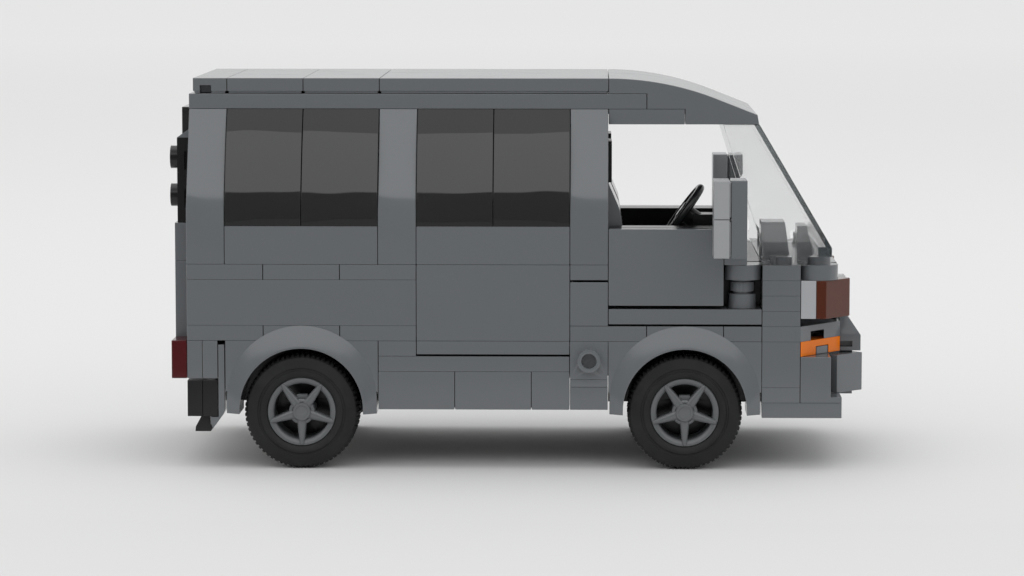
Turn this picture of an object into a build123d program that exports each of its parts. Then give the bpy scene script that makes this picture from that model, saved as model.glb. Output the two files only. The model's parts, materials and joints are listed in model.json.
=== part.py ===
from build123d import *
import os

# Brick-built toy kei van. Millimetres, +X towards the nose, +Y to the van's left, +Z up.
# The origin is on the floor, below the middle of the whole toy.

# The brick system.
STUD = 8.0                      # stud pitch
PLATE = 3.2                     # height of one plate
SIDE_GAP = 0.06                 # each piece stops this short of its neighbour, on every side
SEAT_GAP = 0.04                 # what a piece stops short of the piece that stands on it
SHADOW_GAP = 0.4                # open joint under a tile that is set on its side
TILE_FOOT_H = 0.5               # the narrow foot all round the bottom of a tile
TILE_FOOT_IN = 0.3
STUD_R = 2.4
STUD_H = 1.7
TUBE_R = 3.25                   # round tubes under the base plate
SHELL_WALL = 1.5
BAR_R = 1.6                     # a bar of the system, and the hole that takes it

# The body, counted in studs and plates.
BODY_STUDS = 16                 # tail to the line where the nose starts to turn in
HALF_WIDTH_STUDS = 4
WALL_STUDS = 1                  # thickness of each side wall
ROOF_HALF_STUDS = 3
REAR_SKIN = 3.2                 # how far the tailgate stands out behind the side walls
TAILGATE_STUDS = 0.6            # how far the tailgate reaches in from the tail
STUD_FRAME_OUT = 2.6            # how far the black frame beside the rear window stands out
NOSE_TURN = 11.5                # how far each corner of the nose turns in, across the van
NOSE_DEPTH = 9.0                # over this length along the van
BUMPER_DEPTH = 4.8              # how far the bumper's corners stand out before the nose
DATUM_Z = 20.5                  # top of the sill tiles, where the plates are counted from
SILL_H = 8.0                    # height of the sill tiles
TILE_T = 3.2                    # thickness of a tile that is set on its side

# Wheels.
TYRE_R = 12.0
TYRE_W = 9.6
RIM_R = 7.15
RIM_WALL = 1.25
REAR_AXLE_STUD = 3
FRONT_AXLE_STUD = 13
PIN_R = 1.6
PIN_GAP = 0.06                  # radial running clearance of rim on pin
TYRE_INSET = 0.6                # tyre's outer face behind the outside of the arch
HUB_R = 2.7
HUB_CAP_R = 1.85
SPOKES = 5
SPOKE_ROOT_W = 1.9
SPOKE_TIP_W = 0.9
SPOKE_T = 2.4

# Wheel arches.
ARCH_GAP = 0.9                  # tyre to arch, at the height of the sill's foot
ARCH_STUDS = 4
ARCH_DROP = 0.9                 # the arch's feet reach this far below the sill
WELL_GAP = 1.0                  # the wall behind a wheel stands this far inside the side wall
LIP_OUT = 1.6                   # how far the raised lip stands out of the side
LIP_R = 15.7
LIP_RISE = 1.9                  # centre of the lip's outer edge above the arch's own
ARCH_SQUARE_RISE = 3.7          # the arch's square corners start this far above its centre

# Windows, roof and glass.
LEAN_START = 11.3               # height of the pillars' upright foot
PILLAR_TOP_T = 3.6
PILLAR_BOW = 0.2                # how far the leaning part of a pillar bows out
PILLAR_LIP = 0.25               # how far a pillar reaches behind the panes beside it
PANE_T = 2.4
PANE_BOW = 0.9
GLASS_T = 1.4
ROOF_CURVE_R = 62.0             # the cab roof's arc, which ends in a straight slope
ROOF_CURVE_TURN = 21.6          # degrees
ROOF_SHORT = 0.8                # the cab roof ends this far before the stud line
ROOF_NOSE_H = 2.0               # upright front edge of the cab roof
GLASS_FRONT_T = 1.2             # thickness of the windscreen's raked front, along the van
MIRROR_OUT = 14.0
MIRROR_JOINT = 0.4              # open joint between a mirror's tiles and its plate
LEFT_MIRROR_FORWARD = 2.6       # the left-hand mirror sits this far ahead of the right-hand one

# Plate lines, counted from the datum.
BELT = 2                        # lowest row of the side walls
CAB_SILL = 3
HIGH_BELT = 6
PANEL_TOP = 7
WINDOW_SILL = 9.5
FRAME_TOP = 15.1                # of the black frame beside the rear window
CAB_ROOF = 16
RAIL = 17
ROOF = 18
ROOF_TOP = 19

half_width = HALF_WIDTH_STUDS * STUD
inner_half = half_width - WALL_STUDS * STUD
roof_half = ROOF_HALF_STUDS * STUD
tail_out = STUD_FRAME_OUT + STUD_H
tail_x = tail_out - (tail_out + BODY_STUDS * STUD + NOSE_DEPTH + BUMPER_DEPTH) / 2
sill_z = DATUM_Z - SILL_H
axle_z = TYRE_R
arch_r = TYRE_R + ARCH_GAP


def x_at(studs):
    """X of a stud line counted from the tail."""
    return tail_x + studs * STUD


def z_at(plates):
    """Z of a plate line counted from the datum."""
    return DATUM_Z + plates * PLATE


nose_x = x_at(BODY_STUDS)
nose_front = nose_x + NOSE_DEPTH
nose_slope = NOSE_TURN / NOSE_DEPTH
bumper_front = nose_front + BUMPER_DEPTH
bumper_tip = bumper_front - 0.4


# Shapes that many pieces share.

def block(x0, x1, y0, y1, z0, z1):
    """A box between two corners."""
    corner = Pos((x0 + x1) / 2, (y0 + y1) / 2, (z0 + z1) / 2)
    return corner * Box(x1 - x0, y1 - y0, z1 - z0)


def brick(col0, col1, z0, z1, deep=inner_half, wide=half_width):
    """A piece of the right-hand wall, from one stud line to another."""
    return block(x_at(col0) + SIDE_GAP, x_at(col1) - SIDE_GAP,
                 -wide + SIDE_GAP / 2, -deep - SIDE_GAP, z0, z1 - SEAT_GAP)


def side_tile(col0, col1, z0, z1, deep=inner_half):
    """A wall panel that looks outwards, with a narrow foot behind its face."""
    foot_y = -half_width + TILE_T
    face = block(x_at(col0) + SIDE_GAP, x_at(col1) - SIDE_GAP, -half_width + SIDE_GAP / 2,
                 foot_y - TILE_FOOT_H, z0, z1 - SEAT_GAP)
    foot = block(x_at(col0) + SIDE_GAP + TILE_FOOT_IN, x_at(col1) - SIDE_GAP - TILE_FOOT_IN,
                 foot_y - TILE_FOOT_H, -deep - SIDE_GAP, z0 + TILE_FOOT_IN, z1 - SEAT_GAP - TILE_FOOT_IN)
    return face + foot


def plan(points, z0, z1):
    """A prism that stands on a plan outline."""
    return Pos(0, 0, z0) * extrude(Polygon(*points, align=None), z1 - z0, dir=(0, 0, 1))


def across(points, y0, y1):
    """A prism with a side outline of X and Z, from one Y to another."""
    outline = Plane.XZ * Polygon(*points, align=None)
    return Pos(0, y0, 0) * extrude(outline, y1 - y0, dir=(0, 1, 0))


def along(outline, x0, x1):
    """A prism with an end outline of Y and Z, from one X to another."""
    return Pos(x0, 0, 0) * extrude(Plane.YZ * outline, x1 - x0, dir=(1, 0, 0))


def both(*solids):
    """The solids and their mirror images on the other side of the van."""
    return list(solids) + [mirror(solid, about=Plane.XZ) for solid in solids]


def disc(radius, x, y, z0, z1):
    """An upright cylinder."""
    return Pos(x, y, (z0 + z1) / 2) * Cylinder(radius, z1 - z0)


def cylinder_x(radius, x0, x1, y, z):
    """A round bar along X."""
    return Pos((x0 + x1) / 2, y, z) * Rot(0, 90, 0) * Cylinder(radius, x1 - x0)


def cylinder_y(radius, y0, y1, x, z):
    """A round bar along Y."""
    return Pos(x, (y0 + y1) / 2, z) * Rot(90, 0, 0) * Cylinder(radius, y1 - y0)


def turned(points):
    """A ring turned about the Y axis from points of radius and axial place."""
    return revolve(Polygon(*points, align=None), axis=Axis.Y)


# Underbody.

def base_plate():
    """The long plate under the floor, hollow below with tubes between its studs."""
    width = 2.5 * STUD
    x0, x1 = x_at(0) + SIDE_GAP, nose_x - SIDE_GAP
    z0, z1 = z_at(0), z_at(1) - SEAT_GAP
    plate = block(x0, x1, -width, width, z0, z1)
    plate -= block(x0 + SHELL_WALL, x1 - SHELL_WALL, -width + SHELL_WALL, width - SHELL_WALL,
                   z0, z1 - SHELL_WALL)
    for axle in (REAR_AXLE_STUD, FRONT_AXLE_STUD):
        plate += block(x_at(axle - 1), x_at(axle + 1), -width, width, z0, z1)
    tubes, bores = [], []
    for column in (1, 5, 6, 7, 8, 9, 10, 15):
        for row in (-1.5, -0.5, 0.5, 1.5):
            tubes.append(disc(TUBE_R, x_at(column), row * STUD, z0, z1))
            bores.append(disc(STUD_R, x_at(column), row * STUD, z0, z1 - SHELL_WALL))
    return [plate + tubes - bores]


def axle_holder(axle):
    """The block below the base plate with a wheel pin on each side."""
    x, top = x_at(axle), z_at(0) - SEAT_GAP
    half = 2 * STUD
    boss_r = PIN_R + 1.2
    pin_end = half_width - TYRE_INSET - 1.2
    holder = block(x - STUD + SIDE_GAP, x + STUD - SIDE_GAP, -half, half, axle_z - boss_r, top)
    holder += cylinder_y(PIN_R, -pin_end, pin_end, x, axle_z)
    holder += cylinder_y(boss_r, -half - 2, half + 2, x, axle_z)
    return [holder]


def side_rails():
    """Rows of bricks behind the sill tiles, hollow below, with cross ribs."""
    outer = -half_width + TILE_T + SIDE_GAP
    inner = outer + STUD
    top = DATUM_Z - SEAT_GAP
    rail = block(x_at(5) + SIDE_GAP, x_at(10) - SIDE_GAP, outer, inner, sill_z, top)
    rail -= block(x_at(5) + SHELL_WALL, x_at(10) - SHELL_WALL, outer + SHELL_WALL, inner - SHELL_WALL,
                  sill_z, top - SHELL_WALL)
    for column in range(6, 10):
        rail += disc(BAR_R, x_at(column), (outer + inner) / 2, sill_z, top)
    return both(rail)


def wheel_well(axle):
    """The wall behind a wheel, with a round end that clears the wheel pin."""
    half = ARCH_STUDS * STUD / 2 - SIDE_GAP
    y0, y1 = -inner_half + WELL_GAP, -2.5 * STUD - SIDE_GAP
    wall = block(-half, half, y0, y1, axle_z + 1.1, z_at(BELT) - SEAT_GAP)
    wall += cylinder_y(RIM_R - 0.4, y0, y1, 0, axle_z)
    return Pos(x_at(axle), 0, 0) * (wall - cylinder_y(PIN_R + 0.6, y0, y1, 0, axle_z))


def floor_plate():
    """The floor of load space and cab, on two long ribs that stand on the base plate."""
    x0, x1 = x_at(TAILGATE_STUDS), nose_x - SIDE_GAP
    floor = block(x0, x1, -inner_half, inner_half, z_at(BELT), z_at(BELT + 1) - SEAT_GAP)
    for row in (-1.5, 1.5):
        y = row * STUD
        floor += block(x0, x1, y - STUD_R, y + STUD_R, z_at(1), z_at(BELT))
    return [floor]


def lip_outline(radius, rise):
    """A half-round outline with upright sides down to the arch's feet."""
    centre_z, foot = sill_z + rise, sill_z - ARCH_DROP
    crown = ThreePointArc((-radius, centre_z), (0, centre_z + radius), (radius, centre_z))
    sides = Polyline((radius, centre_z), (radius, foot), (-radius, foot), (-radius, centre_z))
    return make_face([crown, sides])


def wheel_arch(axle):
    """A mudguard with a lip that slopes out towards the wheel, square above and round below."""
    half = ARCH_STUDS * STUD / 2 - SIDE_GAP
    side = half_width + SEAT_GAP
    top = z_at(BELT) - SEAT_GAP
    square = block(-half, half, -half_width, -inner_half, sill_z + ARCH_SQUARE_RISE, top)
    back = Plane.XZ.offset(side) * lip_outline(LIP_R, LIP_RISE)
    face = Plane.XZ.offset(half_width + LIP_OUT) * lip_outline(arch_r + 0.2, 0.2)
    ring = extrude(back, side - inner_half, dir=(0, 1, 0))
    arch = square + (ring & block(-half, half, -side, -inner_half, 0, top))
    arch += loft([back, face], ruled=True)
    arch -= cylinder_y(arch_r, -half_width - STUD, 0, 0, sill_z)
    arch -= block(-arch_r, arch_r, -half_width - STUD, 0, 0, sill_z)
    return Pos(x_at(axle), 0, 0) * arch


def wheel_arches():
    """All four mudguards."""
    return both(wheel_arch(REAR_AXLE_STUD), wheel_arch(FRONT_AXLE_STUD))


# Wheels, made about the Y axis with their open face towards -Y.

def tyre():
    """A tyre with rounded shoulders and a ridge on each wall."""
    half = TYRE_W / 2
    wall = [(RIM_R, 0.9), (RIM_R + 0.5, 0.25), (RIM_R + 1.0, 0), (RIM_R + 1.7, 0), (RIM_R + 1.9, 0.2),
            (TYRE_R - 1.0, 0.5), (TYRE_R - 0.3, 1.2), (TYRE_R, 2.2)]
    near = [(radius, -half + inset) for radius, inset in wall]
    far = [(radius, half - inset) for radius, inset in reversed(wall)]
    return turned(near + far)


def rim():
    """A five-spoke rim with an open back and a capped hub."""
    half = TYRE_W / 2 - 0.7
    bore_r = PIN_R + PIN_GAP
    cap_back = -half + 1.2
    body = turned([(RIM_R - RIM_WALL, -half), (RIM_R, -half), (RIM_R, half), (RIM_R - RIM_WALL, half)])
    body += turned([(bore_r, cap_back), (0, cap_back), (0, -half), (HUB_R, -half), (HUB_R, half - 1),
                    (bore_r, half - 1)])
    body += turned([(0, -half), (HUB_CAP_R, -half), (HUB_CAP_R, -half - 0.4), (HUB_CAP_R - 0.3, -half - 0.7),
                    (0, -half - 0.7)])
    body += block(-1.15, 1.15, cap_back, cap_back + 1.8, HUB_R - 0.8, HUB_R + 0.8)
    tip_z = -RIM_R + SPOKE_TIP_W / 2 + 0.05
    spoke = Polygon((-SPOKE_ROOT_W / 2, -HUB_R + 0.9), (SPOKE_ROOT_W / 2, -HUB_R + 0.9),
                    (SPOKE_TIP_W / 2, tip_z), (-SPOKE_TIP_W / 2, tip_z), align=None)
    spoke += Pos(0, tip_z) * Circle(SPOKE_TIP_W / 2)
    bar = Pos(0, -half - 0.3, 0) * extrude(Plane.XZ * spoke, SPOKE_T, dir=(0, 1, 0))
    for number in range(SPOKES):
        body += Rot(0, number * 360 / SPOKES, 0) * bar
    return body


# Sills and lower walls.

def sill_tiles():
    """Tiles set on their sides below the doors."""
    face = half_width - TILE_T
    return both(
        side_tile(5, 7, sill_z, DATUM_Z, face),
        side_tile(7, 9, sill_z, DATUM_Z, face),
        side_tile(9, 10, sill_z, DATUM_Z, face),
        brick(10, 11, sill_z, sill_z + 1.5 * PLATE),
    )


def sill_plates():
    """Plates on top of the sill tiles."""
    return both(
        brick(5, 10, z_at(0), z_at(1)),
        brick(5, 6, z_at(1), z_at(BELT)),
        brick(6, 10, z_at(1) + SHADOW_GAP, z_at(BELT)),
    )


def fuel_brackets():
    """The brackets that hold the square tiles beside the front arches."""
    low = sill_z + 1.5 * PLATE
    shelf = brick(10, 11, low, low + PLATE / 2)
    back = brick(10, 11, low + PLATE / 2 - SEAT_GAP, z_at(BELT), inner_half, half_width - TILE_T)
    return both(shelf + back)


def fuel_tiles():
    """Square tiles beside the arches, the right-hand one with a hollow stud as fuel cap."""
    low = sill_z + 2 * PLATE
    tile = brick(10, 11, low, z_at(BELT), half_width - TILE_T)
    x, z = x_at(10.5), low + STUD / 2
    cap = cylinder_y(STUD_R, -half_width - STUD_H, -half_width + TILE_T / 2, x, z)
    hole = cylinder_y(BAR_R, -half_width - STUD_H, -half_width + 0.6, x, z)
    return [tile + cap - hole, mirror(tile, about=Plane.XZ)]


# Side walls.

def belt_low_plates():
    """The row of plates over the arches."""
    spans = ((0, 2), (2, 4), (4, 6), (10, 12), (12, 14), (14, 15))
    return both(*[brick(col0, col1, z_at(BELT), z_at(CAB_SILL)) for col0, col1 in spans])


def belt_high_plates():
    """The row of plates below the side panels."""
    spans = ((0, 2), (2, 4), (4, 6), (10, 11))
    return both(*[brick(col0, col1, z_at(HIGH_BELT), z_at(PANEL_TOP)) for col0, col1 in spans])


def quarter_bricks():
    """Tall bricks over the rear wheel and in the middle pillar."""
    return both(
        brick(0, 6, z_at(CAB_SILL), z_at(HIGH_BELT)),
        brick(10, 11, z_at(CAB_SILL), z_at(HIGH_BELT) - SHADOW_GAP),
    )


def under_window_tiles():
    """Long tiles below the window panes."""
    return both(
        side_tile(1, 5, z_at(PANEL_TOP), z_at(WINDOW_SILL)),
        side_tile(6, 10, z_at(PANEL_TOP), z_at(WINDOW_SILL)),
    )


def sliding_door_panels():
    """The plain panel below the middle windows, as thick as the wall."""
    return both(side_tile(6, 10, z_at(BELT), z_at(PANEL_TOP)))


lean_foot = z_at(PANEL_TOP)
lean_bend = lean_foot + LEAN_START
lean_top = z_at(RAIL) - SEAT_GAP


def leaning_face(thickness, bow):
    """End outline of a right-hand wall that stands upright, then leans in to the roof rail."""
    outer, inner = -half_width + SIDE_GAP / 2, -roof_half - SIDE_GAP
    lean = Vector(inner - outer, lean_top - lean_bend).normalized()
    middle = Vector((outer + inner) / 2 - bow * lean.Y, (lean_bend + lean_top) / 2 + bow * lean.X)
    skin = Line((outer, lean_foot), (outer, lean_bend)) + ThreePointArc(
        (outer, lean_bend), middle, (inner, lean_top))
    back = Pos(thickness, 0) * skin
    foot = Line((outer, lean_foot), (outer + thickness, lean_foot))
    head = Line((inner, lean_top), (inner + thickness, lean_top))
    return make_face([skin, back, foot, head])


def pillars():
    """Pillars one stud wide, thin where they lean in, that lap behind the panes beside them."""
    low = Polygon((-half_width + 2, lean_foot), (-inner_half - SIDE_GAP, lean_foot),
                  (-inner_half - SIDE_GAP, lean_bend + 9), (-half_width + 2, lean_bend), align=None)
    front = leaning_face(PILLAR_TOP_T, PILLAR_BOW) + low
    tile_y = -half_width + (TILE_T + TILE_FOOT_H) / 2
    tile_back = Pos(tile_y, lean_foot) * Rectangle(TILE_T + TILE_FOOT_H + 2 * SIDE_GAP, 2 * STUD + 1)
    lap = front - leaning_face(PANE_T + SIDE_GAP, PANE_BOW) - tile_back
    solids = []
    for column, before, after in ((0, 0, PILLAR_LIP), (5, PILLAR_LIP, PILLAR_LIP), (10, PILLAR_LIP, 0)):
        x0, x1 = x_at(column) + SIDE_GAP, x_at(column + 1) - SIDE_GAP
        solids.append(along(front, x0, x1) + along(lap, x0 - before, x1 + after))
    return both(*solids)


def window_panes():
    """Dark panes two studs wide that lean in with the pillars."""
    outline = leaning_face(PANE_T, PANE_BOW) & Pos(0, (z_at(WINDOW_SILL) + lean_top) / 2) * Rectangle(
        4 * half_width, lean_top - z_at(WINDOW_SILL))
    solids = [along(outline, x_at(column) + SIDE_GAP, x_at(column + 2) - SIDE_GAP)
              for column in (1, 3, 6, 8)]
    return both(*solids)


# Cab.

LINING_IN = 1.0                 # how far the door linings stand inside the side wall
cab_sill_z = z_at(CAB_SILL) + SHADOW_GAP
door_z = cab_sill_z + PLATE + 0.7
door_top = door_z + 2 * STUD


def front_door_panels():
    """The front door panel below the open cab window."""
    return both(side_tile(11, 14, door_z, door_top, half_width - TILE_T))


def front_door_sills():
    """The plate that the front door panel stands over."""
    return both(brick(11, 15, cab_sill_z, cab_sill_z + PLATE))


def door_linings():
    """Black inner halves of the front doors, carried on behind the posts."""
    x0, x1 = x_at(11) + SIDE_GAP, x_at(14) - SIDE_GAP
    y0, y1 = -inner_half - SIDE_GAP + SEAT_GAP, -inner_half + LINING_IN
    lining = block(x0, x1, -half_width + TILE_T, y0 + SEAT_GAP, door_z - SEAT_GAP, door_top)
    lining += block(x0 + 1.5, x1, y0, y1, z_at(CAB_SILL), door_top)
    lining += block(x0 + 1.5, x_at(15) - SIDE_GAP, y0, y1, z_at(CAB_SILL), z_at(HIGH_BELT))
    return both(lining)


POST_GAP = 0.5                  # open joint over each round plate


def door_posts():
    """Round plates stacked behind the front corner, under a wider one."""
    x, y = x_at(14.5), -half_width + STUD / 2
    first, top = cab_sill_z + PLATE, z_at(HIGH_BELT)
    middle = first + (top - first) / 2 + POST_GAP
    post = disc(2.0, x, y, first, top - SEAT_GAP) + disc(2.95, x, y, first, middle - POST_GAP)
    post += disc(2.55, x, y, middle, top - POST_GAP)
    cap = disc(STUD / 2 - SIDE_GAP, x, y, top, z_at(PANEL_TOP) - SEAT_GAP)
    cap += block(x_at(14) + SIDE_GAP, x_at(15) - SIDE_GAP, y, -inner_half - SIDE_GAP,
                 top, z_at(PANEL_TOP) - SEAT_GAP)
    return both(post, cap)


def front_corner_plates():
    """The plates of the front corner, the top one with a stud."""
    plates = [brick(15, 16, z_at(CAB_SILL + number), z_at(CAB_SILL + number + 1)) for number in range(4)]
    stud = disc(STUD_R, x_at(15.5), -half_width + STUD / 2, z_at(PANEL_TOP) - PLATE / 2,
                z_at(PANEL_TOP) + STUD_H)
    plates[-1] += stud
    plates.append(brick(15, 16, z_at(-2), z_at(-1)))
    return both(*plates)


def front_corner_bricks():
    """The brick of the front corner, beside the indicator."""
    return both(brick(15, 16, z_at(-1), z_at(BELT)))


# Nose. Its corners turn in towards the middle.

def nose_plate():
    """The plate around the nose under the headlamps, with a clip slot in each corner."""
    top = z_at(CAB_SILL) - SEAT_GAP
    turn = half_width - NOSE_TURN
    plate = plan([(nose_x - 1, -half_width), (nose_x + SIDE_GAP, -half_width), (nose_front, -turn),
                  (nose_front, turn), (nose_x + SIDE_GAP, half_width), (nose_x - 1, half_width)],
                 z_at(BELT), top)
    plate -= block(nose_x - 2, nose_x + SIDE_GAP, -inner_half, inner_half, z_at(BELT), top)
    plate += both(block(x_at(15) + SIDE_GAP, nose_x + SIDE_GAP, -half_width + SIDE_GAP / 2,
                        -inner_half - SIDE_GAP, z_at(BELT), top))
    slot = block(nose_x + 2.3, nose_x + 5.3, -half_width, -1.5 * STUD, z_at(BELT), z_at(BELT) + 1.9)
    return [plate - both(slot)]


def nose_panel():
    """The blank panel between the headlamps."""
    return [block(nose_x + SIDE_GAP, nose_front - 0.4, -2 * STUD + SIDE_GAP, 2 * STUD - SIDE_GAP,
                  z_at(CAB_SILL), z_at(PANEL_TOP) - PLATE - SEAT_GAP)]


def nose_round_plates():
    """Round plates with a stud over each headlamp."""
    x, y = x_at(16.5), -half_width + STUD / 2
    plate = disc(STUD / 2 - SIDE_GAP, x, y, z_at(HIGH_BELT), z_at(PANEL_TOP) - SEAT_GAP)
    return both(plate + disc(STUD_R, x, y, z_at(PANEL_TOP) - 1, z_at(PANEL_TOP) - SEAT_GAP + STUD_H))


def cowl_plates():
    """The plates below the windscreen, with a wedge and a ridge inside the glass."""
    top = z_at(PANEL_TOP) - SEAT_GAP
    y0, y1 = -2.5 * STUD, -1.5 * STUD
    x0, x1 = x_at(15), nose_x
    cowl = block(x0 + SIDE_GAP, x_at(17) - SIDE_GAP, -inner_half + SIDE_GAP, inner_half - SIDE_GAP,
                 z_at(HIGH_BELT), top)
    wedge = across([(x0 + 0.2, top), (x1 - 1.6, top), (x1 - 2.8, top + STUD), (x0 + 0.2, top + STUD)], y0, y1)
    ridge = across([(x1 - 0.2, top), (x1 + 3.4, top), (x1 + 1.8, top + 7.2), (x1 - 0.2, top + 7.2)], y0, y1)
    return [cowl + wedge + ridge]


lamp_low = z_at(HIGH_BELT) - STUD


def headlamp_tiles():
    """Light plates on edge that carry the amber blocks."""
    x0 = nose_x + SIDE_GAP
    return both(block(x0, x0 + TILE_T - SIDE_GAP, -half_width, -half_width + STUD - SIDE_GAP,
                      lamp_low, z_at(HIGH_BELT) - SEAT_GAP))


def headlamp_blocks():
    """Amber corner blocks whose outer face turns in towards the front."""
    x0 = nose_x + TILE_T + SIDE_GAP
    x1 = nose_front + 1.6
    inner = -2 * STUD - SIDE_GAP
    points = [(x0, -half_width + SIDE_GAP / 2), (x0 + 2.0, -half_width + SIDE_GAP / 2),
              (x1, -inner_half - 1.5), (x1, -inner_half), (x0, -inner_half)]
    clear = [(x0, -inner_half + SIDE_GAP), (x1 - 0.6, -inner_half + SIDE_GAP), (x1 - 0.6, inner), (x0, inner)]
    return both(plan(points, lamp_low, z_at(HIGH_BELT) - SEAT_GAP)), both(
        plan(clear, lamp_low, z_at(HIGH_BELT) - SEAT_GAP))


def indicators():
    """Orange indicators along the turned-in corner, with a notch over a grey peg."""
    low, top = z_at(1) + SEAT_GAP, z_at(BELT) - SEAT_GAP
    x0, x1 = nose_x + SIDE_GAP, nose_front
    body = plan([(x0, -half_width), (x1, -half_width + nose_slope * (x1 - x0)),
                 (x1, -half_width + nose_slope * (x1 - x0) + 4), (x0, -inner_half)], low, top)
    notch = block(nose_x + 3.5, nose_x + 6.3, -half_width - 1, -2 * STUD, low - 1, low + 1.7)
    return both(body - notch)


def nose_bricks():
    """Square bricks under the indicators, each with the peg that fits its notch, and the core between."""
    low, top = z_at(-2), z_at(1)
    square = block(nose_x + SIDE_GAP, nose_x + 6.4, -half_width + SIDE_GAP / 2, -inner_half, low, top)
    square += block(nose_x + SIDE_GAP, nose_front - 0.3, -half_width + SIDE_GAP / 2, -inner_half,
                    low, low + CORNER_TILE_RISE - SEAT_GAP)
    peg_x0, peg_x1 = nose_x + 3.6, nose_x + 6.2
    peg = plan([(peg_x0, -half_width + (peg_x0 - nose_x + 0.1) * nose_slope),
                (peg_x1, -half_width + (peg_x1 - nose_x + 0.1) * nose_slope),
                (peg_x1, -inner_half), (peg_x0, -inner_half)], top - SEAT_GAP, top + 1.6)
    x0, x1 = nose_x + SIDE_GAP, nose_front
    shoulder = half_width - NOSE_TURN - 1.1
    wide = inner_half - SIDE_GAP
    turn_x = x1 - (wide - shoulder)
    core = plan([(x0, -wide), (turn_x, -wide), (x1, -shoulder), (x1, shoulder), (turn_x, wide), (x0, wide)],
                low, top - SEAT_GAP)
    core += block(x0, x1, -2 * STUD, 2 * STUD, low, z_at(BELT) - SEAT_GAP)
    return both(square + peg) + [core]


CORNER_TILE_RISE = 1.2          # the bumper's corner tiles stand this far above the nose's foot


def bumper_corners():
    """Square tiles that stand at an angle on the bumper's ends."""
    low = z_at(-2) + CORNER_TILE_RISE
    tile = block(0, STUD, 0, TILE_T, low, low + STUD)
    start_x = bumper_front - STUD / 2 ** 0.5
    return both(Pos(start_x, -inner_half - 0.85, 0) * Rot(0, 0, 45) * tile)


def bumper():
    """The sloped top of the bumper, whose ends lean in, and the bar behind its ends."""
    half = half_width - NOSE_TURN - 0.6
    x0, face_x = nose_front + SIDE_GAP, bumper_tip
    low, bend, top = z_at(1), z_at(BELT) + 0.1, z_at(CAB_SILL) + 1.0
    foot = Pos((x0 + face_x) / 2, 0, bend) * Rectangle(face_x - x0, 2 * half)
    head = Pos((x0 + face_x - 2.8) / 2, 0, top) * Rectangle(face_x - 2.8 - x0, 2 * half - 2.4)
    slope = block(x0, face_x, -half, half, low, bend) + loft([foot, head], ruled=True)
    slope -= both(block(x0 - 1, x0 + 2.6, -half, -half + 2, low + 0.8, low + 2.0))
    bar = block(x0, face_x - 1.5, -half + 3.2, half - 3.2, z_at(-2), low + SEAT_GAP)
    return [slope + bar]


def valance():
    """The lowest plate across the nose."""
    return [block(x_at(15) + SIDE_GAP, nose_front - 0.3, -half_width + SIDE_GAP / 2,
                  half_width - SIDE_GAP / 2, z_at(-3), z_at(-2) - SEAT_GAP)]


# Glass, dash and seats.

def windscreen():
    """One clear piece: a raked front with a wing on each side that leans in with the walls."""
    low, high = z_at(PANEL_TOP + 1) + 0.4, z_at(CAB_ROOF) - SIDE_GAP
    foot_x, top_x = x_at(16.8), x_at(14.95)
    wide, narrow = half_width - SIDE_GAP, roof_half

    def section(x0, x1, half, z):
        return Pos((x0 + x1) / 2, 0, z) * Rectangle(x1 - x0, 2 * half)

    outer = loft([section(x_at(15), foot_x, wide, low), section(x_at(14), top_x, narrow, high)], ruled=True)
    inner = loft([section(x_at(13), foot_x - GLASS_FRONT_T, wide - GLASS_T, low),
                  section(x_at(12), top_x - GLASS_FRONT_T, narrow - GLASS_T, high)], ruled=True)
    base_low = z_at(PANEL_TOP) + STUD_H + SIDE_GAP
    base = block(x_at(15), foot_x, -wide, wide, base_low, low)
    base -= block(x_at(14), foot_x - 2 * GLASS_T, -wide + GLASS_T, wide - GLASS_T, base_low, low)
    feet = [block(x, x + 3.0, -wide, -wide + GLASS_T, z_at(PANEL_TOP), base_low)
            for x in (x_at(15) - 0.3, x_at(16) - 1.9)]
    return [outer - inner + base + both(*feet)]


driver_y = -1.5 * STUD
wheel_centre = (x_at(FRONT_AXLE_STUD), driver_y, z_at(10))
WHEEL_TILT = 54
STEERING_R = 6.2
COLUMN_LENGTH = 12.0


def dashboard():
    """The dash across the cab, with a cowl in front of the driver."""
    low, high = z_at(PANEL_TOP), z_at(PANEL_TOP) + 5.6
    x0, x1 = x_at(14) + 0.5, x_at(15)
    half = inner_half - LINING_IN - SIDE_GAP
    dash = block(x0, x1, -half, half, z_at(CAB_SILL), low)
    cowl = across([(x0, low), (x0 + 4.2, low), (x0 + 4.2, high - 2), (x0 + 2, high), (x0, high)],
                  driver_y - STUD, driver_y + STUD)
    return [dash + cowl]


def steering_wheel():
    """The steering wheel, whose column carries a pod and is cut to lie against the dash."""
    ring = Torus(STEERING_R, 0.8)
    spokes = Box(2 * STEERING_R, 1.4, 1.2) + Pos(-STEERING_R / 2, 0, 0) * Box(STEERING_R, 4.0, 1.0)
    hub = Cylinder(1.8, 1.6)
    column = Pos(0, 0, -COLUMN_LENGTH / 2) * Cylinder(2.0, COLUMN_LENGTH)
    wheel = Pos(*wheel_centre) * Rot(0, -WHEEL_TILT, 0) * (ring + spokes + hub + column)
    x, y, z = wheel_centre
    pod = block(x + 2.0, x_at(14) - 0.4, y - 3.0, y + 3.0, z - 5.0, z - 0.4)
    return [wheel + pod - dashboard()]


seat_back_x = x_at(10) + 1
seat_top = z_at(12) + 0.2


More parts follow.
